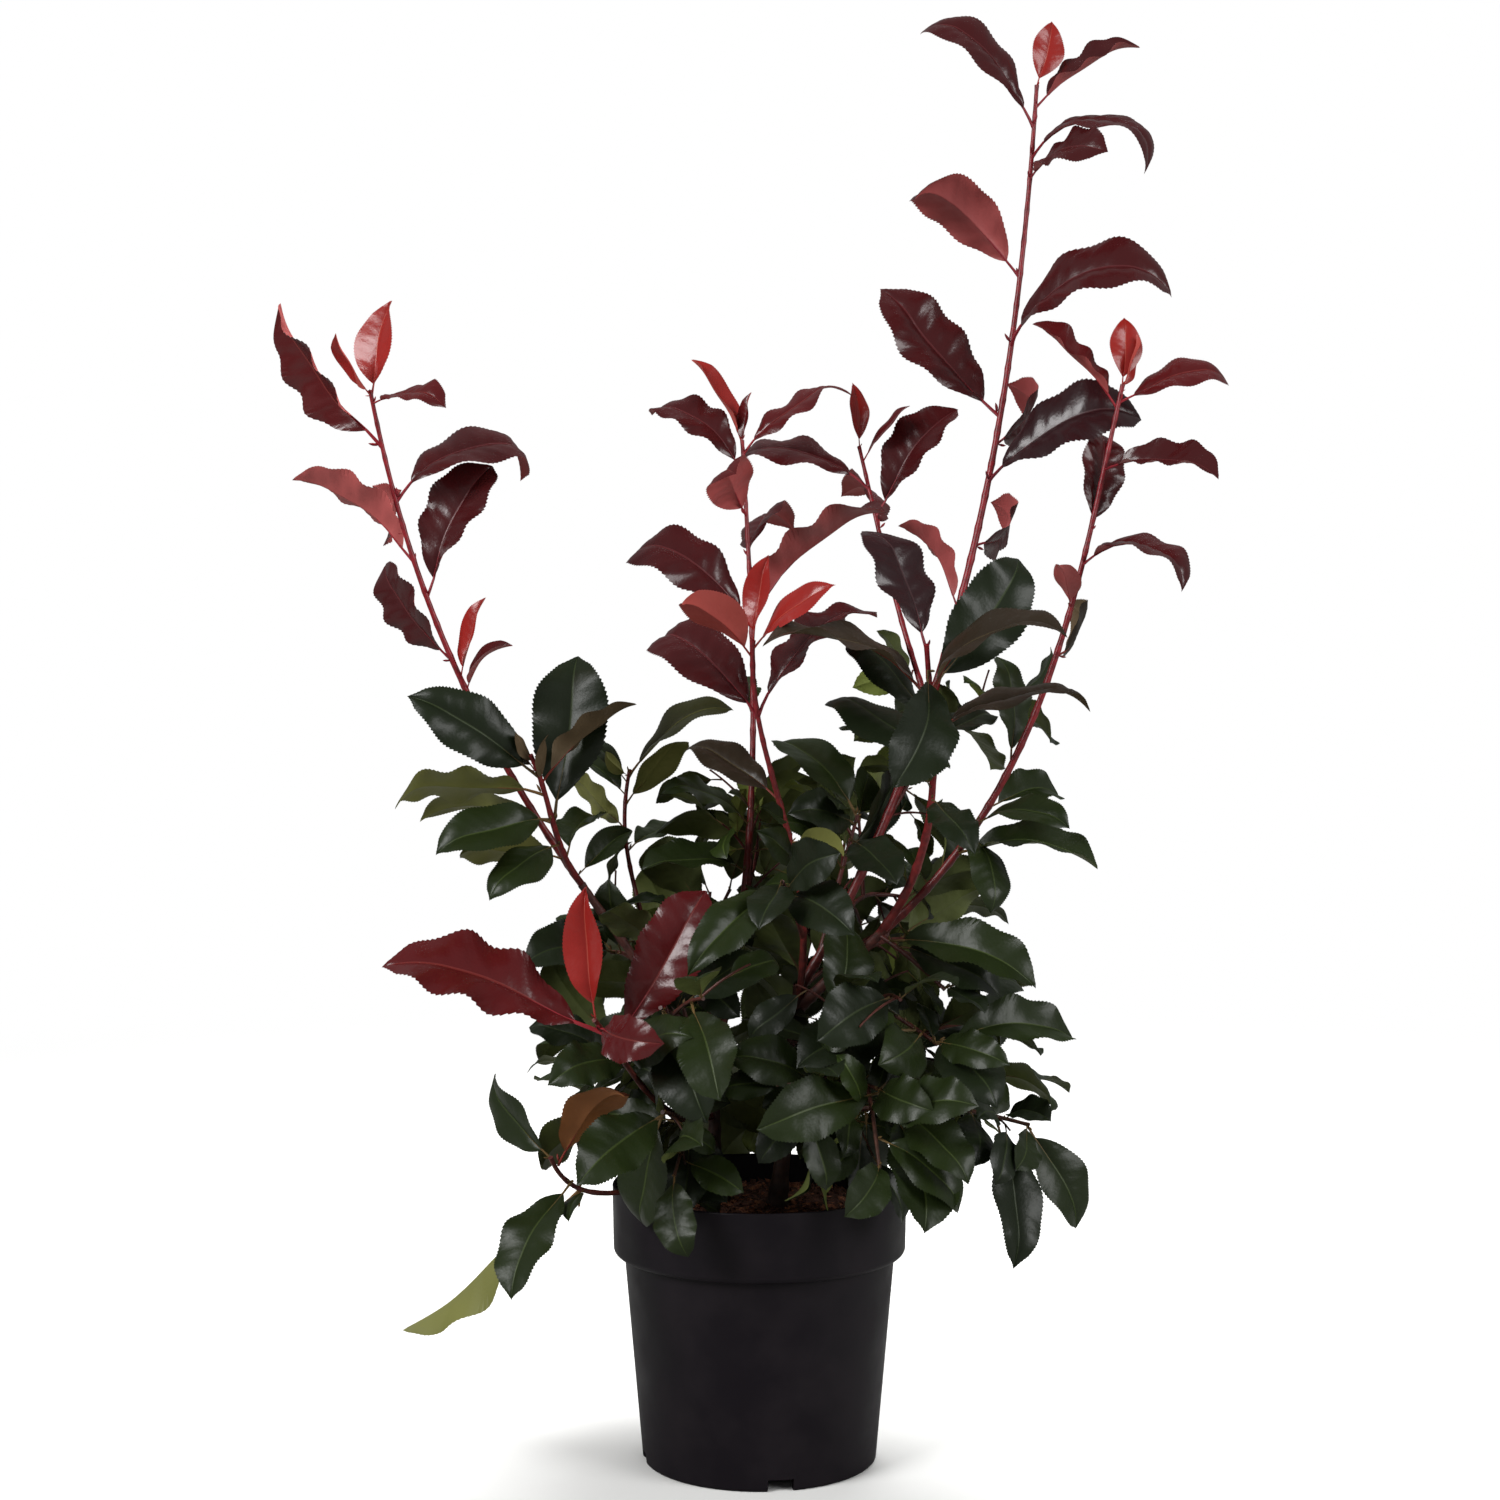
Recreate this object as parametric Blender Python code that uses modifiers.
"""A potted red-tipped photinia, 1.17 m tall, modelled limb by limb and leaf by leaf.

Two stems rise from the compost of a round nursery container and fork into boughs. Each bough ends where it
enters a leafy shoot, and shorter leafy sprays fill the foot of the crown on all sides.

Lengths are in millimetres and are turned into metres where a mesh is made. X points to the right of the
front view, Y away from the viewer and Z up, and the origin is at the middle of the pot's underside.
"""

import bisect
import math
import random
from collections import Counter, namedtuple

import bmesh
import bpy
from mathutils import Matrix, Vector
from mathutils.bvhtree import BVHTree
from mathutils.geometry import interpolate_bezier

MM = 0.001
SEAT = 0.3
WELDS = (0.0, 0.001, 0.004, 0.01, 0.02, 0.04, 0.07, 0.1, 0.15, 0.2)
TOUCH = 0.0005
SCRAP_SIZE = 5.0
UP = Vector((0.0, 0.0, 1.0))
TO_VIEWER = Vector((0.0, -1.0, 0.0))

# The container: a thin moulded pot with a deep collar and a foot ring with drainage notches.
RIM_RADIUS = 116.0
COLLAR_FOOT_RADIUS = 115.0
COLLAR_DEPTH = 54.0
COLLAR_ROUND = 5.0
POT_HEIGHT = 216.0
BODY_TOP_RADIUS = 106.5
BODY_FOOT_RADIUS = 92.0
FOOT_ROUND = 3.0
FOOT_RING_WIDTH = 9.0
FLOOR_RISE = 10.0
WALL = 2.4
NOTCH_WIDTH = 20.0
NOTCH_COUNT = 4
FIRST_NOTCH = math.radians(-80)
TURNED_STEPS = 24
COMPOST_LEVEL = 198.0
COMPOST_DISH = 5.0

# Limbs, and the sprays' twigs: where along a spray the side twigs spring, how long they are beside it, how far
# they open and rise, and how far each try is turned on until one stands clear.
FLARE_FALL = 14.0
STEM_SPACING = 22.0
LIMB_SPACING = 45.0
TWIG_SPACING = 36.0
WHOLE_SHARE = 0.9
SPRAY_RADII = (2.2, 1.5)
TWIG_RADII = (1.7, 1.3)
BOW_HOLD = 0.9
FIRST_TWIG_SHARE = 0.42
TWIG_ZONE = 0.42
TWIG_SHARE = 0.62
TWIG_SHORTENING = 0.2
TWIG_OPENING = math.radians(44)
TWIG_LIFT = 0.12
TWIG_BOW = 0.06
TWIG_TRIES = 6
TRY_TURN = math.radians(50)
SPRAY_BARE_SHARE = 0.5
TWIG_BARE_SHARE = 0.35

# Leaves: a stalk, then a pointed blade that is widest past its middle.
STALK_SHARE = 0.13
STALK_RADIUS = 1.0
LEAF_THICKNESS = 0.02
LEAST_THICKNESS = 1.2
BLADE_RATIO = 0.235
BROAD_BLADE_RATIO = 0.275
YOUNG_BLADE_RATIO = 0.2
YOUNG_LENGTH = 72.0
BLADE_START_POWER = 0.95
BLADE_END_POWER = 0.75
BLADE_PEAK = 0.3115
FULL_STATIONS = (0.2, 0.5, 0.8)
PLAIN_STATIONS = (0.34, 0.72)
LEAF_TURN = math.radians(137.5)
LEAF_CLEARANCE = 0.8
ROOT_STEP = 0.6
SHOOT_REACH = 190.0
LOWEST_LEAF = 70.0
KEEL_SHARE = 0.6
WIDTH_RANGE = (0.94, 1.08)
TWIST_SPREAD = 26
TWIST_START = 0.4
SKY_PULL = 0.8
TWIG_PULL = 0.2

# Leaves set by rule, from the crowded tip of a twig down to its lowest leaf: how far they open, in degrees, how
# long they are beside the stated size, how far they droop and how many degrees they bend.
TIP_MARGIN = 2.0
TIP_OPENING = 30
OPENING_GAIN = 44
OPENING_SPREAD = 9
TIP_LEAF_SHARE = 0.74
LEAF_SHARE_GAIN = 0.26
LENGTH_RANGE = (0.9, 1.1)
TURN_SPREAD = 12
TIP_DROOP = 0.08
DROOP_GAIN = 0.3
ARCH_RANGE = (18, 60)

Limb = namedtuple("Limb", "name parent at places thick thin flare")
Shoot = namedtuple("Shoot", "name parent at places thick thin bare rows")
Spray = namedtuple("Spray", "name parent at tip bow twigs leaves size rows")

# The bare limbs, as the places a third, two thirds and all of the way along each.
LIMBS = (
    Limb("main_stem", None, (12, 5, 180), [(20, 2, 256), (25, -2, 315), (32, -5, 372)], 6.4, 5.0, 3.0),
    Limb("second_stem", None, (-30, 15, 180), [(-35, 14, 240), (-35, 12, 290), (-30, 10, 335)], 5.2, 4.0, 2.5),
    Limb("right_fork", "main_stem", 172, [(53, -12, 376), (76, -18, 397), (98, -25, 419)], 4.6, 3.7, 0.0),
    Limb("left_fork", "second_stem", 118, [(-68, 3, 350), (-104, -3, 401), (-140, -10, 452)], 3.8, 3.0, 0.0),
)

# The leading shoots. Each leaf is a row: how far below the shoot's tip it springs, how far to the right, away
# from the viewer and up its own tip lies from there, how much of its upper face it shows the viewer, and by how
# many degrees it bends away from that face.
SHOOTS = (
    Shoot("tall_right", "main_stem", 189, [(140, 35, 603), (201, 73, 851), (231, 110, 1105)], 3.9, 1.7, 320, (
        (0, 15, 11, 59, 0.7, 10),
        (35, -89, 9, 103, 0.5, 45),
        (17, 87, 6, 57, 0.2, 30),
        (60, 102, -66, -8, 0.4, 105),
        (78, 49, -86, 15, 0.4, 50),
        (161, -94, -45, 71, -0.8, 60),
        (219, 128, -72, 49, 0.6, 95),
        (278, -87, 21, 114, 0.8, -25),
        (334, 112, -60, 64, 0.8, 60),
        (441, -43, 35, 73, -0.3, 40),
        (300, 40, 88, 55, 0.3, 35),
        (385, 40, 95, 40, 0.3, 45),
    )),
    Shoot("right", "right_fork", 80, [(192, -17, 536), (250, -8, 688), (287, 0, 846)], 3.3, 1.7, 56, (
        (0, 4, 15, 58, 0.8, 10),
        (4, 14, 8, 47, 0.4, 10),
        (12, 91, 5, 30, 0.2, 30),
        (16, -63, 18, 73, 0.1, 20),
        (65, 82, -56, -6, 0.6, 45),
        (116, 19, 34, 87, 0.9, 20),
        (142, 78, -68, -12, 0.3, 90),
        (176, -14, -47, 34, -0.8, 20),
        (215, 30, 86, 40, 0.3, 40),
        (307, -2, 34, 90, 0.7, 15),
        (346, 65, 53, 9, 0.6, 45),
        (359, 68, -46, 3, 0.4, 60),
        (369, 16, -57, -54, 0.8, 60),
        (387, 107, -49, -3, 0.4, 50),
        (405, 0, 80, 42, 0.4, 40),
        (420, -12, 52, 27, 0.8, 20),
    )),
    Shoot("front_right", "right_fork", 94, [(127, -56, 490), (131, -88, 566), (124, -120, 641)], 3.6, 1.9, 105, (
        (4, -37, 32, 101, 0.9, 10),
        (37, 76, 34, 107, 1.0, 20),
        (42, 96, -70, 57, -0.3, 80),
        (43, -128, -46, 52, -0.3, 60),
        (16, -29, -78, -83, 0.9, 40),
        (70, 125, 22, 30, -0.3, 50),
        (75, 50, 43, 33, 0.6, 30),
        (62, -64, 27, 72, 0.6, 40),
        (91, -80, 44, 54, 0.7, 40),
        (113, -24, -66, 35, -0.8, 20),
        (121, 27, -72, -29, 0.8, 30),
    )),
    Shoot("centre_right", "tall_right", 250, [(115, 74, 665), (99, 102, 735), (84, 130, 806)], 2.4, 1.5, 140, (
        (0, -4, 14, 58, 0.8, 10),
        (12, 36, -25, 47, 0.2, 15),
        (38, -133, 19, 23, 0.5, 90),
        (62, 67, 10, 94, 0.8, 20),
        (74, -20, 92, 45, 0.3, 40),
    )),
    Shoot("centre", "second_stem", 146, [(-8, 41, 491), (-6, 71, 650), (-14, 100, 809)], 3.1, 1.6, 105, (
        (0, -41, 15, 72, 0.4, 20),
        (3, 5, 0, 46, 0.6, 10),
        (9, 86, 5, 65, 0.5, 40),
        (26, -68, 26, 74, 0.8, 80),
        (60, -20, -72, 41, -0.9, 20),
        (95, 30, 92, 46, 0.3, 40),
        (148, 106, -41, 95, -0.3, 50),
        (152, -107, 11, 70, 0.8, 85),
        (225, -36, 88, 40, 0.3, 40),
        (300, -17, -32, 17, 0.3, 20),
        (312, -67, -43, 37, 0.3, 40),
        (349, -83, -45, 8, 0.5, 60),
    )),
    Shoot("front", "main_stem", 176, [(29, -39, 463), (6, -69, 553), (-5, -100, 644)], 2.9, 1.6, 80, (
        (0, 11, 2, 67, 0.7, 10),
        (4, 59, -32, 50, 0.4, 30),
        (12, -54, -61, 43, -0.8, 50),
        (57, 99, 22, 84, 0.4, 60),
        (62, -87, 49, 73, 0.8, 75),
        (127, -73, 41, 45, 0.7, 30),
        (146, -19, -41, 16, 0.5, 20),
        (162, 41, -56, -5, -0.6, 40),
        (182, -29, -57, 32, 0.7, 30),
        (196, -31, 44, -8, 0.6, 20),
    )),
    Shoot("tall_left", "left_fork", 168, [(-215, -18, 575), (-269, -29, 705), (-302, -40, 838)], 2.9, 1.6, 178, (
        (4, 11, 21, 79, 0.7, 10),
        (3, -24, -32, 45, 0.3, 10),
        (43, -88, 12, 111, 0.6, 10),
        (7, 59, -46, 1, 0.3, 30),
        (85, 108, 57, 39, 0.2, 90),
        (110, -20, 92, 38, 0.3, 40),
        (134, -94, 0, 71, -0.5, 35),
        (161, 48, 16, 107, 1.0, 25),
        (215, -65, 26, 77, 0.7, 25),
        (228, 18, 1, 64, 0.5, 10),
        (239, 38, -30, 38, 0.3, 60),
    )),
    Shoot("left", "left_fork", 189, [(-156, -27, 485), (-165, -43, 521), (-176, -60, 556)], 2.7, 1.7, 0, (
        (7, -14, -19, 26, -0.6, 0),
        (25, 5, -25, 41, -0.4, 10),
        (13, -32, 25, 47, 0.8, 20),
        (16, -93, -41, 67, 0.9, 25),
        (22, 72, 0, 65, -0.4, 30),
        (32, -116, -46, 5, -0.5, 35),
        (58, 13, 37, 135, 1.0, 15),
        (56, -108, 28, 8, -0.5, 30),
        (52, -86, -57, -17, 0.8, 45),
        (74, -51, -71, -29, 0.8, 40),
        (90, -78, -55, 11, -0.7, 30),
        (108, 84, -10, 73, -0.7, 30),
        (104, 26, 62, 25, 0.9, 30),
        (84, -20, 86, 10, 0.6, 40),
        (112, -44, -81, 2, 0.9, 40),
    )),
    Shoot("inner_left", "left_fork", 82, [(-98, 25, 439), (-108, 40, 488), (-105, 55, 539)], 2.1, 1.5, 70, (
        (4, -19, -30, 22, -0.7, 20),
        (4, 84, 2, 61, 0.3, 50),
        (9, -44, 19, 42, 0.6, 30),
        (19, -44, 43, 32, 0.6, 30),
        (25, 49, -29, 59, -0.7, 20),
        (46, -47, 28, 47, -0.7, 10),
        (62, 40, 62, 20, 0.5, 30),
        (107, 43, -57, 31, 0.9, 40),
        (112, -30, 60, 26, 0.6, 30),
    )),
    Shoot("low_left", "second_stem", 86, [(-73, -44, 282), (-101, -77, 320), (-124, -110, 360)], 2.7, 1.8, 105, (
        (0, -9, 9, 101, 0.9, 10),
        (15, -161, -14, 66, 0.6, 5),
        (31, 67, 13, 120, 0.9, 10),
        (7, 41, -73, 0, 0.9, 40),
        (50, -51, -72, 0, 0.7, 50),
        (44, 48, -76, 34, 0.7, 35),
    )),
    Shoot("rim_left", "second_stem", 40, [(-81, -38, 221), (-127, -68, 222), (-158, -95, 254)], 2.5, 1.7, 112, (
        (2, -55, 48, 56, 0.8, 20),
        (8, 53, -38, 78, -0.7, 40),
        (27, -44, -73, -69, 0.8, 30),
        (38, -132, 4, -114, 0.15, 0),
        (40, -10, -47, -13, 0.5, 20),
        (34, 64, 43, 57, 0.6, 40),
    )),
)

# The sprays that fill the foot of the crown: where each leaves its limb, where its main twig ends, how far it
# bows upwards, how many side twigs it bears, and the leaves of each twig. Rows as above list the leaves that
# stand out in the front view.
SPRAYS = (
    Spray("spray_front_upper", "front", 60, (17, -84, 461), 3, 0, 0, 90, (
        (4, -71, -85, -52, 0.9, 30),
        (0, -19, -63, -24, 0.8, 30),
        (15, 46, -75, -20, 0.9, 30),
        (10, 38, -55, 33, 0.8, 40),
    )),
    Spray("spray_front_middle", "main_stem", 93, (93, -118, 307), 14, 2, 3, 92, (
        (0, -92, -62, -17, 0.95, 20),
        (6, 23, 72, 27, 0.7, 30),
        (33, -48, 72, 25, 0.7, 30),
        (6, 32, -73, -1, 0.8, 40),
    )),
    Spray("spray_front_left", "second_stem", 108, (-75, -95, 367), 5, 2, 3, 90, (
        (2, -2, -71, -76, 1.0, 20),
        (2, 30, -63, -39, 0.8, 30),
        (16, -64, 45, -34, 0.8, 30),
        (22, 30, 70, 38, 0.7, 30),
    )),
    Spray("spray_front_low_left", "second_stem", 66, (-73, -110, 291), 4, 1, 3, 90, (
        (6, -59, -90, -32, 0.9, 20),
        (0, -22, 25, -92, 0.8, 30),
        (60, -1, -56, -68, 1.0, 20),
        (80, 22, -70, -43, 0.9, 30),
    )),
    Spray("spray_front_low_right", "main_stem", 72, (107, -111, 293), 8, 1, 3, 88, (
        (11, 22, -75, -75, 0.9, 30),
        (0, 49, -67, -36, 0.8, 40),
        (41, 0, 27, -80, 0.9, 20),
        (46, -32, -41, -67, -0.15, 20),
        (0, 46, 59, -8, 0.7, 40),
    )),
    Spray("spray_right_low", "main_stem", 102, (207, -60, 272), 8, 0, 3, 80, (
        (0, -12, -47, -25, 0.9, 20),
        (0, 43, -4, -79, 0.9, 20),
        (16, 30, -45, 8, 0.4, 60),
        (23, 12, -65, -100, 0.9, 20),
        (31, 21, 63, 22, 0.7, 30),
        (43, 2, -61, -34, 0.8, 30),
        (71, 40, 65, 24, 0.7, 30),
    )),
    Spray("spray_right_middle", "right_fork", 38, (135, -80, 337), 3, 1, 3, 84, (
        (0, 112, 38, 0, 0.75, 60),
        (0, 48, -64, -3, 0.7, 45),
        (0, -7, 39, 26, 0.4, 10),
        (3, 45, -71, -33, 0.7, 30),
        (12, -22, -66, -64, 0.9, 20),
        (17, -93, -67, -13, 0.7, 30),
        (25, -44, 50, 21, 0.7, 30),
    )),
    Spray("spray_right_upper", "right_fork", 92, (142, -60, 376), 2, 0, 0, 84, (
        (0, 67, 43, -2, 0.7, 40),
        (0, 31, -37, -12, 0.5, 30),
        (21, 44, 59, 16, 0.6, 40),
        (51, 58, -54, -52, 0.7, 50),
        (58, 111, -63, -25, 0.8, 60),
    )),
    Spray("spray_inner_upper", "tall_right", 32, (78, 10, 505), 2, 0, 0, 84, (
        (0, -65, 50, 63, 0.6, 60),
        (0, 13, 45, 37, 0.8, 10),
        (2, 49, 52, 11, 0.7, 40),
        (4, -52, -52, 16, 0.8, 45),
        (16, 34, -68, -25, 0.8, 40),
        (25, 48, 70, 31, 0.6, 30),
        (39, -37, -56, 44, 0.7, 40),
    )),
    Spray("spray_left_middle", "left_fork", 106, (-119, 44, 392), 4, 1, 4, 86, (
        (0, -46, 59, 28, 0.7, 30),
        (4, -69, -61, 3, 0.8, 50),
        (15, -11, -37, 60, 0.8, 20),
    )),
    Spray("spray_inner_right", "tall_right", 118, (152, 96, 572), 4, 2, 3, 84, ()),
    Spray("spray_right_back", "right_fork", 66, (134, 66, 396), 8, 2, 4, 84, ()),
    Spray("spray_left_low", "second_stem", 78, (-120, 44, 300), 16, 2, 4, 92, ()),
    Spray("spray_back_low_left", "second_stem", 50, (-92, 108, 268), 22, 3, 4, 96, ()),
    Spray("spray_back_low", "main_stem", 58, (24, 124, 264), 22, 3, 4, 98, ()),
    Spray("spray_back_low_right", "main_stem", 112, (142, 84, 296), 16, 3, 4, 94, ()),
    Spray("spray_back_middle_left", "second_stem", 132, (-62, 118, 398), 12, 3, 4, 98, ()),
    Spray("spray_back_middle", "main_stem", 138, (46, 119, 404), 12, 3, 4, 97, ()),
    Spray("spray_back_middle_right", "tall_right", 48, (104, 124, 430), 12, 3, 4, 84, ()),
    Spray("spray_back_upper", "centre", 84, (8, 104, 496), 8, 2, 4, 84, ()),
)

# The colours that the finished plant shows from a step away.
BARK = "#5A3A2C"
RED_BARK = "#6E2A2A"
RED_LEAF = "#5A1A1C"
MIXED_LEAF = "#3E3A22"
GREEN_LEAF = "#26381E"
POT_BLACK = "#221F22"
COMPOST_BROWN = "#4A2C20"
RED_SHOOTS = {"tall_right", "right", "centre_right", "centre", "tall_left", "low_left"}
MIXED_SHOOTS = {"front", "front_right", "left", "rim_left"}


def clear_scene():
    """Removes what the open file holds, so that the plant stands alone."""
    for obj in list(bpy.data.objects):
        bpy.data.objects.remove(obj, do_unlink=True)


def new_collection(name):
    """A collection of that name in the scene."""
    collection = bpy.data.collections.new(name)
    bpy.context.scene.collection.children.link(collection)
    return collection


def linear_colour(hex_colour):
    """An sRGB hex colour as linear red, green, blue and alpha."""
    shares = [int(hex_colour[start:start + 2], 16) / 255 for start in (1, 3, 5)]
    return [s / 12.92 if s <= 0.04045 else ((s + 0.055) / 1.055) ** 2.4 for s in shares] + [1.0]


def paint(obj, hex_colour, roughness):
    """Gives an object its own plain material."""
    material = bpy.data.materials.new(obj.name)
    material.use_nodes = True
    shader = material.node_tree.nodes["Principled BSDF"]
    shader.inputs["Base Color"].default_value = linear_colour(hex_colour)
    shader.inputs["Roughness"].default_value = roughness
    shader.inputs["Metallic"].default_value = 0.0
    obj.data.materials.clear()
    obj.data.materials.append(material)


def mesh_object(name, mesh, collection):
    """An object of a mesh, linked to a collection."""
    obj = bpy.data.objects.new(name, mesh)
    collection.objects.link(obj)
    return obj


def baked(obj, weld=True):
    """Replaces an object's data with the plain mesh that its curve or modifiers give, its caps welded on."""
    depsgraph = bpy.context.evaluated_depsgraph_get()
    mesh = bpy.data.meshes.new_from_object(obj.evaluated_get(depsgraph))
    shape = bmesh.new()
    shape.from_mesh(mesh)
    if weld:
        bmesh.ops.remove_doubles(shape, verts=shape.verts, dist=MM * 0.01)
        bmesh.ops.recalc_face_normals(shape, faces=shape.faces)
    shape.to_mesh(mesh)
    shape.free()
    result = mesh_object(obj.name + "_mesh", mesh, obj.users_collection[0])
    result.matrix_world = obj.matrix_world
    name = obj.name
    bpy.data.objects.remove(obj, do_unlink=True)
    result.name = name
    mesh.name = name
    return result


def combine(obj, operation, solver, other=None, collection=None):
    """Cuts or joins an object with another object or a whole collection, and applies the result."""
    modifier = obj.modifiers.new("combine", "BOOLEAN")
    modifier.operation = operation
    modifier.solver = solver
    if collection is None:
        modifier.object = other
    else:
        modifier.operand_type = "COLLECTION"
        modifier.collection = collection
    return baked(obj, weld=False)


def skins_of(shape):
    """The groups of faces that hang together across clean edges, from the smallest to the largest."""
    left = set(shape.faces)
    skins = []
    while left:
        skin = []
        waiting = [left.pop()]
        while waiting:
            face = waiting.pop()
            skin.append(face)
            for edge in face.edges:
                beside = [other for other in edge.link_faces if other in left]
                if len(edge.link_faces) == 2 and beside:
                    left.remove(beside[0])
                    waiting.append(beside[0])
        skins.append(skin)
    return sorted(skins, key=len)


def enclosed(skin):
    """The volume inside a skin of triangles in cubic millimetres, below zero for a hollow."""
    corners = ([vert.co / MM for vert in face.verts] for face in skin)
    return sum(first.cross(second).dot(third) for first, second, third in corners) / 6


def is_sound(shape):
    """Whether a mesh is one skin whose every edge joins two faces, also with its closest corners welded."""
    trial = shape.copy()
    bmesh.ops.remove_doubles(trial, verts=trial.verts, dist=MM * TOUCH)
    trial.verts.index_update()
    sides = Counter()
    for face in trial.faces:
        for edge in face.edges:
            sides[frozenset(vert.index for vert in edge.verts)] += 1
    sound = len(skins_of(trial)) == 1 and set(sides.values()) == {2}
    trial.free()
    return sound


def drop_scraps(obj):
    """Keeps only the largest skin of a mesh: loose scraps go, sealed hollows are filled, slivers are welded."""
    for weld in WELDS:
        shape = bmesh.new()
        shape.from_mesh(obj.data)
        bmesh.ops.remove_doubles(shape, verts=shape.verts, dist=MM * weld)
        bmesh.ops.dissolve_degenerate(shape, edges=shape.edges, dist=MM * weld)
        bmesh.ops.triangulate(shape, faces=shape.faces)
        skins = skins_of(shape)
        lost = max((enclosed(skin) for skin in skins[:-1]), default=0.0)
        for skin in skins[:-1]:
            bmesh.ops.delete(shape, geom=skin, context="FACES")
        if is_sound(shape) and lost < SCRAP_SIZE:
            break
        shape.free()
    else:
        print("not sound:", obj.name)
        return
    shape.to_mesh(obj.data)
    shape.free()


class Path:
    """A run through four places, measured by the distance from its foot, in short straight lengths."""

    def __init__(self, places, spacing):
        foot, third, two_thirds, tip = (Vector(place) for place in places)
        near = (third * 18 - two_thirds * 9 + tip * 2 - foot * 5) / 6
        far = (two_thirds * 18 - third * 9 + foot * 2 - tip * 5) / 6
        count = max(2, round((tip - foot).length / spacing)) + 1
        self.points = interpolate_bezier(foot, near, far, tip, count)
        self.reached = [0.0]
        for here, there in zip(self.points, self.points[1:]):
            self.reached.append(self.reached[-1] + (there - here).length)
        self.length = self.reached[-1]

    def step(self, distance):
        """The sampled stretch that holds a distance."""
        return min(max(bisect.bisect(self.reached, distance), 1), len(self.points) - 1)

    def place(self, distance):
        """The point at a distance from the foot."""
        step = self.step(distance)
        span = self.reached[step] - self.reached[step - 1]
        share = (distance - self.reached[step - 1]) / span
        return self.points[step - 1].lerp(self.points[step], share)

    def heading(self, distance):
        """The direction of growth at a distance from the foot."""
        step = self.step(distance)
        return (self.points[step] - self.points[step - 1]).normalized()

    def gap_to(self, point):
        """How far a point lies from the run."""
        return min((point - place).length for place in self.points)

    def between(self, start, end):
        """Two distances and those of the run's own bends between them."""
        return [start] + [d for d in self.reached if start + 1.0 < d < end - 1.0] + [end]


def tube(name, path, start, end, radius_at, collection, resolution=1):
    """A limb between two distances along a path, as a bevelled curve with filled caps made a mesh."""
    distances = path.between(start, end)
    curve = bpy.data.curves.new(name, "CURVE")
    curve.dimensions = "3D"
    curve.bevel_depth = MM
    curve.bevel_resolution = resolution
    curve.use_fill_caps = True
    spline = curve.splines.new("POLY")
    spline.points.add(len(distances) - 1)
    for point, distance in zip(spline.points, distances):
        point.co = (*(path.place(distance) * MM), 1.0)
        point.radius = radius_at(distance)
    return baked(mesh_object(name, curve, collection))


def taper(path, thick, thin, flare=0.0):
    """The radius along a limb: an even taper, with the foot's flare dying away above it."""
    def radius_at(distance):
        share = min(max(distance / path.length, 0.0), 1.0)
        return thick + (thin - thick) * share + flare * math.exp(-max(distance, 0.0) / FLARE_FALL)
    return radius_at


class Room:
    """What already stands, so that no limb, twig or leaf is put through it."""

    def __init__(self):
        self.taken = []

    def take(self, points, faces, owner):
        """Marks a closed shape as standing, under its owner's name."""
        middle = sum(points, Vector()) / len(points)
        radius = max((point - middle).length for point in points)
        self.taken.append((BVHTree.FromPolygons(points, faces), middle, radius, owner))

    def take_object(self, obj, owner):
        """Marks an object's mesh as standing."""
        points = [vert.co / MM for vert in obj.data.vertices]
        self.take(points, [list(face.vertices) for face in obj.data.polygons], owner)

    def touched(self, points, faces, wanted):
        """The owners, among the wanted ones, that a shape would touch."""
        middle = sum(points, Vector()) / len(points)
        radius = max((point - middle).length for point in points)
        tree = BVHTree.FromPolygons(points, faces)
        owners = set()
        for other, centre, reach, owner in self.taken:
            if wanted(owner) and (centre - middle).length < radius + reach and other.overlap(tree):
                owners.add(owner)
        return owners


Leaf = namedtuple("Leaf", "root along face length half_width arch twist")


def perpendicular(vector, axis):
    """The part of a vector square to an axis, at unit length."""
    square = vector - axis * vector.dot(axis)
    if square.length < 1e-6:
        square = axis.orthogonal()
    return square.normalized()


def lay_leaf(root, chord, face, arch, ratio, rng):
    """Settles a leaf's shape from its run: short young ones are slim, and the rest vary a little."""
    length = chord.length
    young = length < YOUNG_LENGTH and ratio < BROAD_BLADE_RATIO
    ratio = (YOUNG_BLADE_RATIO if young else ratio) * rng.uniform(*WIDTH_RANGE)
    half_width = length * (1.0 - STALK_SHARE) * ratio
    twist = math.radians(rng.uniform(-TWIST_SPREAD, TWIST_SPREAD))
    return Leaf(root, chord.normalized(), face, length, half_width, math.radians(arch), twist)


def station(leaf, share):
    """The midrib's place, side and face at a share of the leaf's run, an arc that bends from its face."""
    if abs(leaf.arch) < 0.01:
        leaf = leaf._replace(arch=0.01)
    radius = leaf.length / (2 * math.sin(leaf.arch / 2))
    turn = leaf.arch / 2 - leaf.arch * share
    ahead = radius * (math.sin(leaf.arch / 2) - math.sin(turn))
    rise = radius * (math.cos(turn) - math.cos(leaf.arch / 2))
    place = leaf.root + leaf.along * ahead + leaf.face * rise
    heading = leaf.along * math.cos(turn) + leaf.face * math.sin(turn)
    face = leaf.face * math.cos(turn) - leaf.along * math.sin(turn)
    twisted = Matrix.Rotation(leaf.twist * (share - TWIST_START), 3, heading)
    return place, twisted @ face.cross(heading), twisted @ face


def blade_width(share):
    """The blade's half width at a share of its own run, as a share of the widest."""
    return share ** BLADE_START_POWER * (1.0 - share) ** BLADE_END_POWER / BLADE_PEAK


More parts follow.
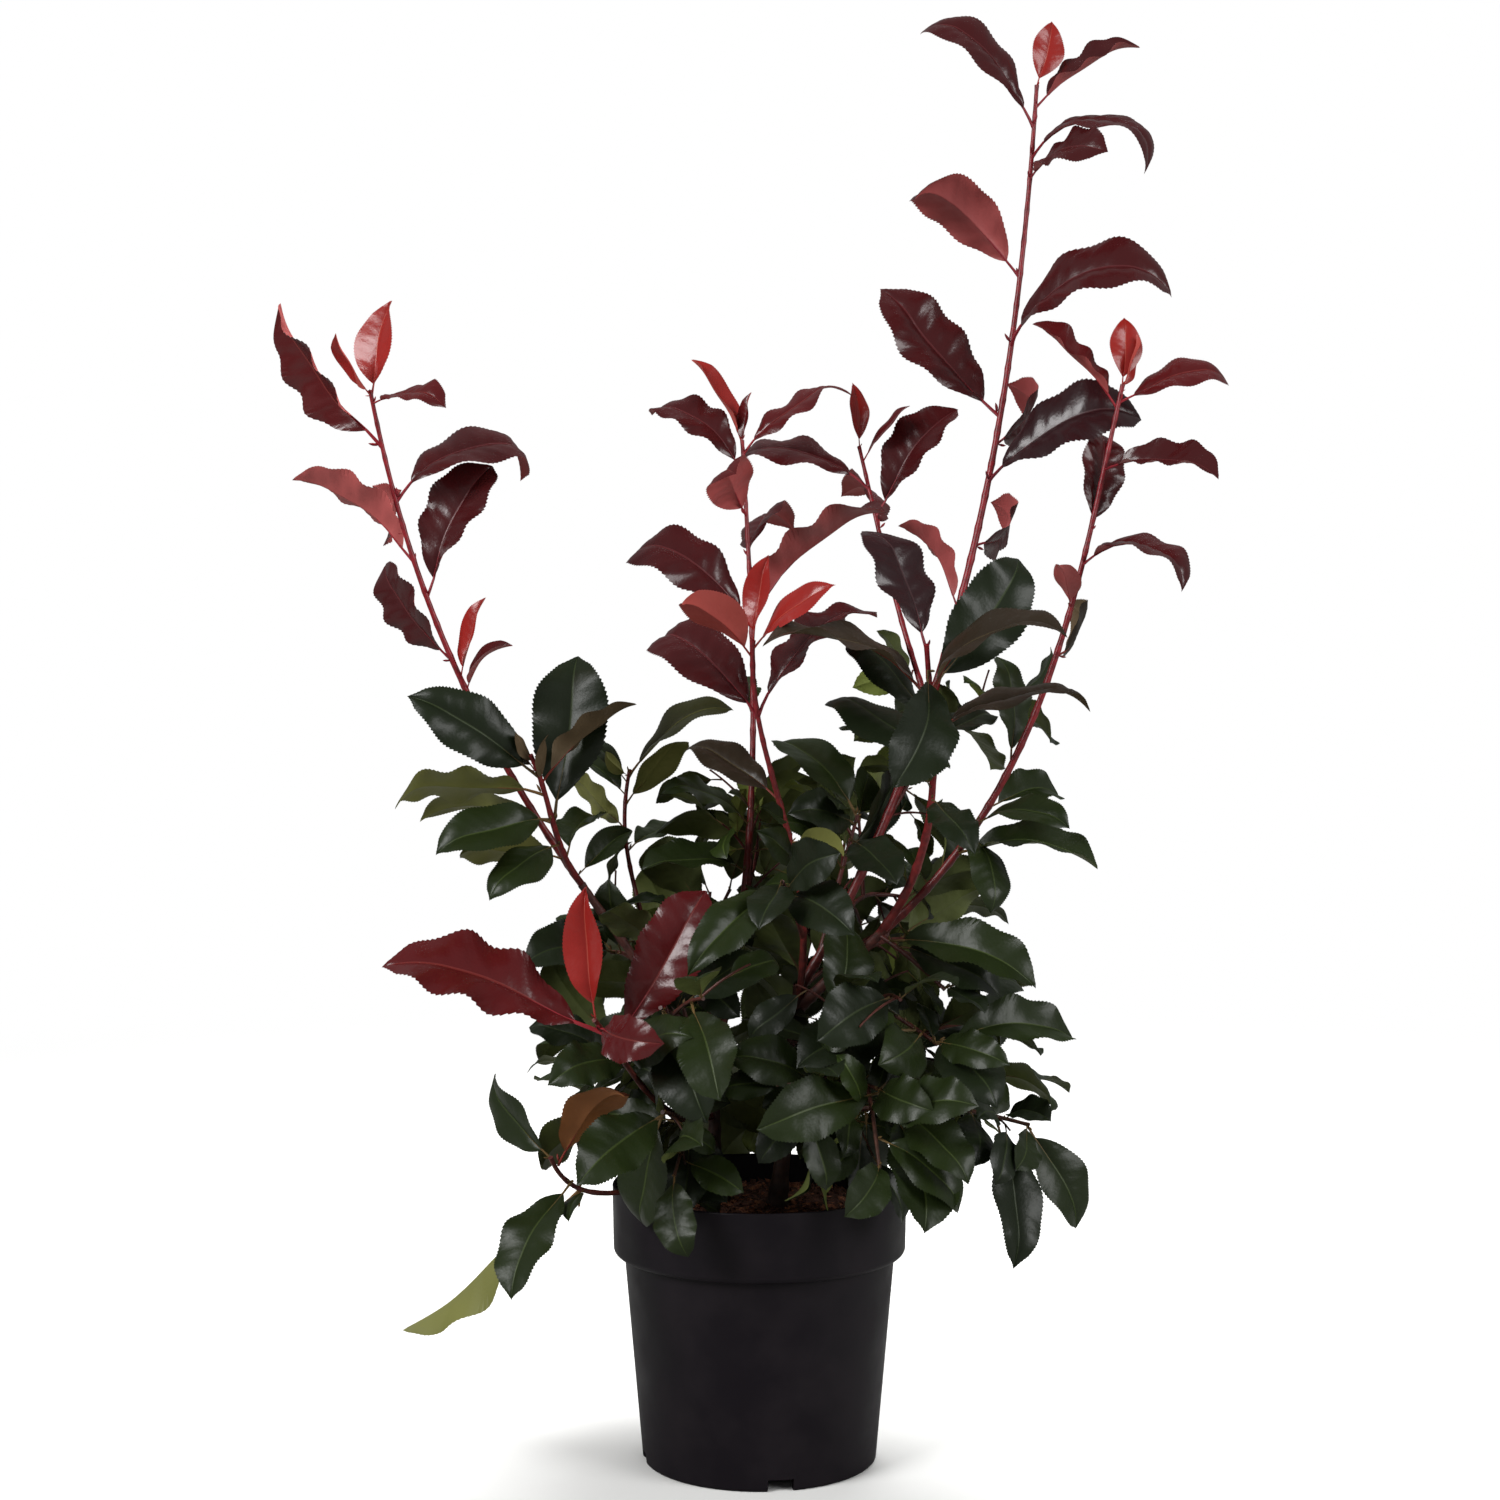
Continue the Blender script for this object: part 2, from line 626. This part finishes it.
def split_outwards(points, low, low_beside, high_beside, high):
    """Two triangles for four corners that face outwards, split so that a twisted leaf bulges."""
    out = (points[high_beside] - points[low]).cross(points[high] - points[low])
    if out.dot(points[low_beside] - points[low]) <= 0.0:
        return [(low, low_beside, high_beside), (low, high_beside, high)]
    return [(low, low_beside, high), (low_beside, high_beside, high)]


def leaf_shape(leaf, stations, slack=0.0, whole=True):
    """A closed leaf: keeled sections from the stalk's root through the blade, then a pointed tip."""
    thickness = max(leaf.length * LEAF_THICKNESS, LEAST_THICKNESS)
    sections = [(0.0, STALK_RADIUS, STALK_RADIUS)] if whole else []
    for share in stations:
        run = STALK_SHARE + (1.0 - STALK_SHARE) * share
        sections.append((run, leaf.half_width * blade_width(share), thickness))
    points = []
    for run, half_width, depth in sections:
        place, side, face = station(leaf, run)
        spread = side * (half_width + slack)
        rim = place + face * (depth * (1.0 - KEEL_SHARE) + slack)
        points += [rim + spread, rim - spread, place - face * (depth * KEEL_SHARE + slack)]
    points.append(station(leaf, 1.0)[0] + leaf.along * slack)
    tip = len(points) - 1
    faces = [(0, 2, 1)]
    for ring in range(0, tip - 3, 3):
        for corner in range(3):
            beside = (corner + 1) % 3
            faces += split_outwards(points, ring + corner, ring + beside, ring + beside + 3, ring + corner + 3)
    for corner in range(3):
        faces.append((tip - 3 + corner, tip - 3 + (corner + 1) % 3, tip))
    return points, faces


def leaf_object(name, leaf, stations, collection):
    """The leaf as an object whose faces point outwards."""
    points, faces = leaf_shape(leaf, stations)
    shape = bmesh.new()
    verts = [shape.verts.new(point * MM) for point in points]
    for corners in faces:
        shape.faces.new([verts[corner] for corner in corners])
    mesh = bpy.data.meshes.new(name)
    shape.to_mesh(mesh)
    shape.free()
    return mesh_object(name, mesh, collection)


def turned_face(along, light, show=None):
    """A leaf's upper face: towards the light, or showing the viewer the stated share of itself."""
    if show is None:
        return perpendicular(light, along)
    to_viewer = perpendicular(TO_VIEWER, along)
    across = along.cross(to_viewer)
    if across.dot(light) < 0.0:
        across.negate()
    return (to_viewer * show + across * math.sqrt(1.0 - show * show)).normalized()


def light_on(root, axis):
    """Where a leaf turns its face: up, outwards and a little along its twig."""
    outward = Vector((root.x, root.y, 0.0))
    if outward.length > 1.0:
        outward.normalize()
    return UP * SKY_PULL + outward + axis * TWIG_PULL


# How far a leaf is turned round its twig and raised, in degrees, until it stands clear.
NUDGES = ((0, 0), (9, 0), (-9, 0), (0, 9), (0, -9), (18, 6), (-18, -6), (18, -9), (-18, 9), (30, 0), (-30, 0),
          (0, 22), (0, -22), (42, 10), (-42, 10))


def settle_leaf(room, path, owner, distance, chord, shape, rng):
    """A leaf that stands clear of all else, or None where no small turn makes room for it."""
    show, arch, ratio, stations = shape
    root = path.place(distance)
    axis = path.heading(distance)
    seed = rng.random()
    for turn, lift in NUDGES:
        turned = Matrix.Rotation(math.radians(turn), 3, axis) @ chord
        raised = Matrix.Rotation(math.radians(lift), 3, perpendicular(axis.cross(turned), turned)) @ turned
        face = turned_face(raised.normalized(), light_on(root, axis), show)
        leaf = lay_leaf(root, raised, face, arch, ratio, random.Random(seed))
        whole = leaf_shape(leaf, stations, LEAF_CLEARANCE)
        if min(point.z for point in whole[0]) < LOWEST_LEAF or path.gap_to(whole[0][-1]) > SHOOT_REACH:
            continue
        if room.touched(*whole, lambda other: other != owner):
            continue
        blade = leaf_shape(leaf, stations, LEAF_CLEARANCE, whole=False)
        if room.touched(*blade, lambda other: other == owner):
            continue
        room.take(*leaf_shape(leaf, stations), owner)
        return leaf
    return None


def turned_chord(axis, turn, opening, length, droop):
    """A leaf's run from its twig: opened from the axis, turned round it, and drooping at its end."""
    square = perpendicular(UP, axis) if abs(axis.z) < 0.9 else perpendicular(Vector((1, 0, 0)), axis)
    outwards = Matrix.Rotation(turn, 3, axis) @ square
    direction = axis * math.cos(opening) + outwards * math.sin(opening)
    return (direction - UP * droop).normalized() * length


def grow_leaves(room, path, owner, start, count, size, first_turn, rng):
    """Leaves set by rule round a twig's outer part, from the crowded tip down to the widest spaced."""
    leaves = []
    for rank in range(count):
        share = rank / max(count - 1, 1)
        distance = path.length - TIP_MARGIN - (path.length - TIP_MARGIN - start) * share
        opening = math.radians(TIP_OPENING + OPENING_GAIN * share + rng.uniform(-OPENING_SPREAD, OPENING_SPREAD))
        size_share = TIP_LEAF_SHARE + LEAF_SHARE_GAIN * min(1.0, share * 2)
        length = size * size_share * rng.uniform(*LENGTH_RANGE)
        turn = first_turn + rank * LEAF_TURN + math.radians(rng.uniform(-TURN_SPREAD, TURN_SPREAD))
        droop = TIP_DROOP + DROOP_GAIN * share
        chord = turned_chord(path.heading(distance), turn, opening, length, droop)
        arch = rng.uniform(*ARCH_RANGE)
        shape = (None, arch, BROAD_BLADE_RATIO, PLAIN_STATIONS)
        leaf = settle_leaf(room, path, owner, distance, chord, shape, rng)
        if leaf:
            leaves.append(leaf)
    return leaves


def bowed_path(foot, tip, bow):
    """A path between two places that rises above the straight line by the bow."""
    foot, tip = Vector(foot), Vector(tip)
    third = foot.lerp(tip, 1 / 3) + UP * bow * BOW_HOLD
    two_thirds = foot.lerp(tip, 2 / 3) + UP * bow * BOW_HOLD
    return Path([foot, third, two_thirds, tip], TWIG_SPACING)


class Plant:
    """Grows the shrub: limbs first, then the listed leaves, then the sprays, all kept clear of each other."""

    def __init__(self):
        self.parts = new_collection("potted_photinia")
        self.cutters = new_collection("cutters")
        self.room = Room()
        self.paths = {}
        self.sleeves = {}
        self.masses = {}

    def foot_path(self, limb):
        """A limb's path, whose foot lies on its parent's middle line or at its own stated place."""
        foot = limb.at if limb.parent is None else self.paths[limb.parent].place(limb.at)
        return Path([foot] + limb.places, STEM_SPACING if limb.parent is None else LIMB_SPACING)

    def add_sleeve(self, name, path, start, end, radius_at):
        """Keeps a limb's shape grown by the seat's gap, which later limbs are cut back from."""
        sleeve = tube(name + "_sleeve", path, start - SEAT, end + SEAT, lambda d: radius_at(d) + SEAT,
                      self.cutters)
        sleeve.hide_render = True
        sleeve.display_type = "WIRE"
        self.sleeves[name] = sleeve

    def cut_clear(self, obj, reach):
        """Cuts a limb back from each earlier limb that it springs from or passes."""
        for sleeve in self.sleeves.values():
            tree = BVHTree.FromPolygons([v.co / MM for v in sleeve.data.vertices],
                                        [list(f.vertices) for f in sleeve.data.polygons])
            own = BVHTree.FromPolygons([v.co / MM for v in obj.data.vertices],
                                       [list(f.vertices) for f in obj.data.polygons])
            if own.overlap(tree):
                obj = combine(obj, "DIFFERENCE", "EXACT", other=sleeve)
        drop_scraps(obj)
        left = max((v.co / MM - reach[0]).length for v in obj.data.vertices)
        if left < WHOLE_SHARE * (reach[1] - reach[0]).length:
            print("cut short:", obj.name)
        return obj

    def add_limb(self, name, path, start, end, radius_at, colour, level=None):
        """Adds one bare limb, cut clear of the earlier ones and, at its foot, flat at a level."""
        obj = tube(name, path, start, end, radius_at, self.parts)
        self.room.take_object(obj, name)
        if level is not None:
            obj = self.cut_flat(obj, path.place(0.0), level)
        obj = self.cut_clear(obj, (path.place(start), path.place(end)))
        obj.data.shade_smooth()
        paint(obj, colour, 0.55)
        self.add_sleeve(name, path, start, end, radius_at)
        return obj

    def cut_flat(self, obj, foot, level):
        """Cuts a stem's foot off flat at a level."""
        half = 40.0
        bpy.ops.mesh.primitive_cube_add(size=2 * half * MM)
        block = bpy.context.object
        block.location = Vector((foot.x, foot.y, level - half)) * MM
        bpy.context.view_layer.update()
        obj = combine(obj, "DIFFERENCE", "EXACT", other=block)
        bpy.data.objects.remove(block, do_unlink=True)
        return obj

    def start_mass(self, name, path, start, radius_at):
        """Starts a leafy mass with its own stem, and makes a collection for what joins it."""
        stem = tube(name, path, start, path.length, radius_at, self.parts, 0)
        self.room.take_object(stem, name)
        stem = self.cut_clear(stem, (path.place(start), path.place(path.length)))
        self.masses[name] = (stem, new_collection(name + "_joined"), [])

    def grow_limbs(self):
        """The stems and the bare boughs, and the stems of the masses that they end in."""
        for limb in LIMBS:
            path = self.foot_path(limb)
            self.paths[limb.name] = path
            level = COMPOST_LEVEL + SEAT if limb.parent is None else None
            radius_at = taper(path, limb.thick, limb.thin)
            if limb.flare:
                radius_at = self.flared(path, limb)
            self.add_limb(limb.name, path, 0.0, path.length, radius_at, BARK, level)
        for shoot in SHOOTS:
            path = self.foot_path(shoot)
            self.paths[shoot.name] = path
            radius_at = taper(path, shoot.thick, shoot.thin)
            if shoot.bare:
                self.add_limb(shoot.name + "_bough", path, 0.0, shoot.bare, radius_at, RED_BARK)
        for shoot in SHOOTS:
            path = self.paths[shoot.name]
            start = shoot.bare + SEAT if shoot.bare else 0.0
            self.start_mass("leaves_" + shoot.name, path, start, taper(path, shoot.thick, shoot.thin))

    def flared(self, path, limb):
        """A stem's radius, with its flare measured from where it leaves the compost."""
        foot = COMPOST_LEVEL - path.points[0].z
        even = taper(path, limb.thick, limb.thin)
        return lambda d: even(d) + limb.flare * math.exp(-max(d - foot, 0.0) / FLARE_FALL)

    def set_leaf(self, name, leaf, stations):
        """Adds a settled leaf to a mass."""
        _, joined, leaves = self.masses[name]
        leaf_object("%s_leaf_%d" % (name, len(leaves)), leaf, stations, joined)
        leaves.append(leaf)

    def set_listed_leaves(self, group, ratio):
        """The listed leaves of a shoot or spray."""
        name = "leaves_" + group.name
        path = self.paths[group.name]
        rng = random.Random(group.name)
        for number, (down, right, away, up, show, arch) in enumerate(group.rows):
            chord = Vector((right, away, up))
            shape = (show, arch, ratio, FULL_STATIONS)
            distance = path.length - TIP_MARGIN - down - ROOT_STEP * number
            leaf = settle_leaf(self.room, path, name, distance, chord, shape, rng)
            if leaf:
                self.set_leaf(name, leaf, FULL_STATIONS)
            else:
                print("no room:", group.name, "leaf", number)

    def start_sprays(self):
        """The main twig of each spray."""
        for spray in SPRAYS:
            path = bowed_path(self.paths[spray.parent].place(spray.at), spray.tip, spray.bow)
            self.paths[spray.name] = path
            self.start_mass("leaves_" + spray.name, path, 0.0, taper(path, *SPRAY_RADII))

    def grow_sprays(self):
        """Side twigs and leaves of each spray, each twig a fixed turn on from the last."""
        for spray in SPRAYS:
            name = "leaves_" + spray.name
            path = self.paths[spray.name]
            rng = random.Random(spray.name)
            first_turn = rng.uniform(0, math.tau)
            stems = [] if spray.rows else [(path, path.length * SPRAY_BARE_SHARE)]
            for rank in range(spray.twigs):
                twig = self.side_twig(path, name, rank, spray, first_turn, rng)
                if twig:
                    stems.append((twig, twig.length * TWIG_BARE_SHARE))
            for stem, start in stems:
                for leaf in grow_leaves(self.room, stem, name, start, spray.leaves, spray.size,
                                        rng.uniform(0, math.tau), rng):
                    self.set_leaf(name, leaf, PLAIN_STATIONS)

    def side_twig(self, path, name, rank, spray, first_turn, rng):
        """One side twig of a spray, or None where it would touch something."""
        distance = path.length * (FIRST_TWIG_SHARE + TWIG_ZONE * rank / max(spray.twigs - 1, 1))
        axis = path.heading(distance)
        share = TWIG_SHARE - TWIG_SHORTENING * rank / spray.twigs
        length = path.length * share * rng.uniform(*LENGTH_RANGE)
        root = path.place(distance)
        for attempt in range(TWIG_TRIES):
            turn = first_turn + rank * LEAF_TURN + attempt * TRY_TURN
            end = root + turned_chord(axis, turn, TWIG_OPENING, length, -TWIG_LIFT)
            twig = bowed_path(root, end, length * TWIG_BOW)
            obj = tube(name + "_twig", twig, 0.0, twig.length, taper(twig, *TWIG_RADII),
                       self.masses[name][1], 0)
            points = [vert.co / MM for vert in obj.data.vertices]
            faces = [list(face.vertices) for face in obj.data.polygons]
            if not self.room.touched(points, faces, lambda other: other != name):
                self.room.take(points, faces, name)
                return twig
            bpy.data.objects.remove(obj, do_unlink=True)
        return None

    def join_masses(self):
        """Joins each mass's twigs and leaves to its stem, and removes what was joined."""
        for name, (stem, joined, leaves) in self.masses.items():
            faces_before = len(stem.data.polygons)
            merged = combine(stem, "UNION", "MANIFOLD", collection=joined)
            for obj in list(joined.objects):
                bpy.data.objects.remove(obj, do_unlink=True)
            bpy.data.collections.remove(joined)
            drop_scraps(merged)
            shoot = name.replace("leaves_", "")
            colour = RED_LEAF if shoot in RED_SHOOTS else MIXED_LEAF if shoot in MIXED_SHOOTS else GREEN_LEAF
            paint(merged, colour, 0.4)
            print(name, len(leaves), "leaves", faces_before, "->", len(merged.data.polygons), "faces")


def turned_object(name, profile, collection):
    """A turned shape: a profile of radii and heights swept once round the pot's axis."""
    mesh = bpy.data.meshes.new(name)
    verts = [Vector((radius, 0.0, height)) * MM for radius, height in profile]
    edges = [(corner, corner + 1) for corner in range(len(profile) - 1)]
    mesh.from_pydata(verts, edges, [])
    obj = mesh_object(name, mesh, collection)
    screw = obj.modifiers.new("turn", "SCREW")
    screw.angle = math.tau
    screw.steps = TURNED_STEPS
    screw.render_steps = TURNED_STEPS
    screw.use_merge_vertices = True
    screw.merge_threshold = 1e-5
    return baked(obj)


def arc(radius, height, size, start, end, steps=3):
    """Corner points of a rounded edge about a centre, from one angle to another in degrees."""
    angles = [math.radians(start + (end - start) * k / steps) for k in range(steps + 1)]
    return [(radius + size * math.cos(a), height + size * math.sin(a)) for a in angles]


def inside_profile(shrink):
    """The pot's inner wall from its floor upwards, drawn in by a shrink, up to the collar's inside."""
    collar_foot = POT_HEIGHT - COLLAR_DEPTH
    return [
        (BODY_FOOT_RADIUS - WALL - shrink, FLOOR_RISE + WALL + shrink),
        (BODY_TOP_RADIUS - WALL - shrink, collar_foot + WALL + shrink),
        (COLLAR_FOOT_RADIUS - WALL - shrink, collar_foot + WALL + 6.0 + shrink),
    ]


def make_pot(collection):
    """The container: one thin wall with a stepped collar, a raised floor and a notched foot ring."""
    collar_foot = POT_HEIGHT - COLLAR_DEPTH
    profile = [(0.0, FLOOR_RISE + WALL)]
    profile += inside_profile(0.0)
    profile += [(RIM_RADIUS - WALL - 0.4, POT_HEIGHT - 1.0), (RIM_RADIUS - WALL + 0.6, POT_HEIGHT),
                (RIM_RADIUS - 0.8, POT_HEIGHT), (RIM_RADIUS, POT_HEIGHT - 1.2)]
    profile += arc(COLLAR_FOOT_RADIUS - COLLAR_ROUND, collar_foot + COLLAR_ROUND, COLLAR_ROUND, 0, -80)
    profile += [(BODY_TOP_RADIUS, collar_foot - 0.6)]
    profile += arc(BODY_FOOT_RADIUS - FOOT_ROUND, FOOT_ROUND, FOOT_ROUND, 0, -90, 2)
    profile += [(BODY_FOOT_RADIUS - FOOT_RING_WIDTH, 0.0), (BODY_FOOT_RADIUS - FOOT_RING_WIDTH - 1.0, FLOOR_RISE)]
    profile += [(0.0, FLOOR_RISE)]
    pot = turned_object("pot", profile, collection)
    for number in range(NOTCH_COUNT):
        angle = FIRST_NOTCH + number * math.tau / NOTCH_COUNT
        bpy.ops.mesh.primitive_cube_add(size=1.0)
        notch = bpy.context.object
        notch.scale = Vector((3 * FOOT_RING_WIDTH, NOTCH_WIDTH, 2 * FLOOR_RISE - 1.0)) * MM
        notch.rotation_euler = (0.0, 0.0, angle)
        middle = BODY_FOOT_RADIUS - FOOT_RING_WIDTH / 2
        notch.location = Vector((middle * math.cos(angle), middle * math.sin(angle), 0.0)) * MM
        bpy.context.view_layer.update()
        pot = combine(pot, "DIFFERENCE", "EXACT", other=notch)
        bpy.data.objects.remove(notch, do_unlink=True)
    pot.data.set_sharp_from_angle(angle=math.radians(40))
    paint(pot, POT_BLACK, 0.45)
    return pot


def make_compost(collection):
    """The compost that fills the pot, flat round the stems and dished a little towards the wall."""
    profile = [(0.0, COMPOST_LEVEL), (RIM_RADIUS * 0.72, COMPOST_LEVEL)]
    profile += [(COLLAR_FOOT_RADIUS - WALL - SEAT, COMPOST_LEVEL - COMPOST_DISH)]
    profile += list(reversed(inside_profile(SEAT)))
    profile += [(0.0, FLOOR_RISE + WALL + SEAT)]
    compost = turned_object("compost", profile, collection)
    paint(compost, COMPOST_BROWN, 0.9)
    return compost


def main():
    """Builds the pot, the compost and the plant."""
    clear_scene()
    plant = Plant()
    for make in (make_pot, make_compost):
        obj = make(plant.parts)
        plant.room.take_object(obj, obj.name)
    plant.grow_limbs()
    plant.start_sprays()
    for shoot in SHOOTS:
        plant.set_listed_leaves(shoot, BLADE_RATIO)
    for spray in SPRAYS:
        plant.set_listed_leaves(spray, BROAD_BLADE_RATIO)
    plant.grow_sprays()
    plant.join_masses()
    for sleeve in list(plant.cutters.objects):
        bpy.data.objects.remove(sleeve, do_unlink=True)
    bpy.data.collections.remove(plant.cutters)


if __name__ == "__main__":
    main()
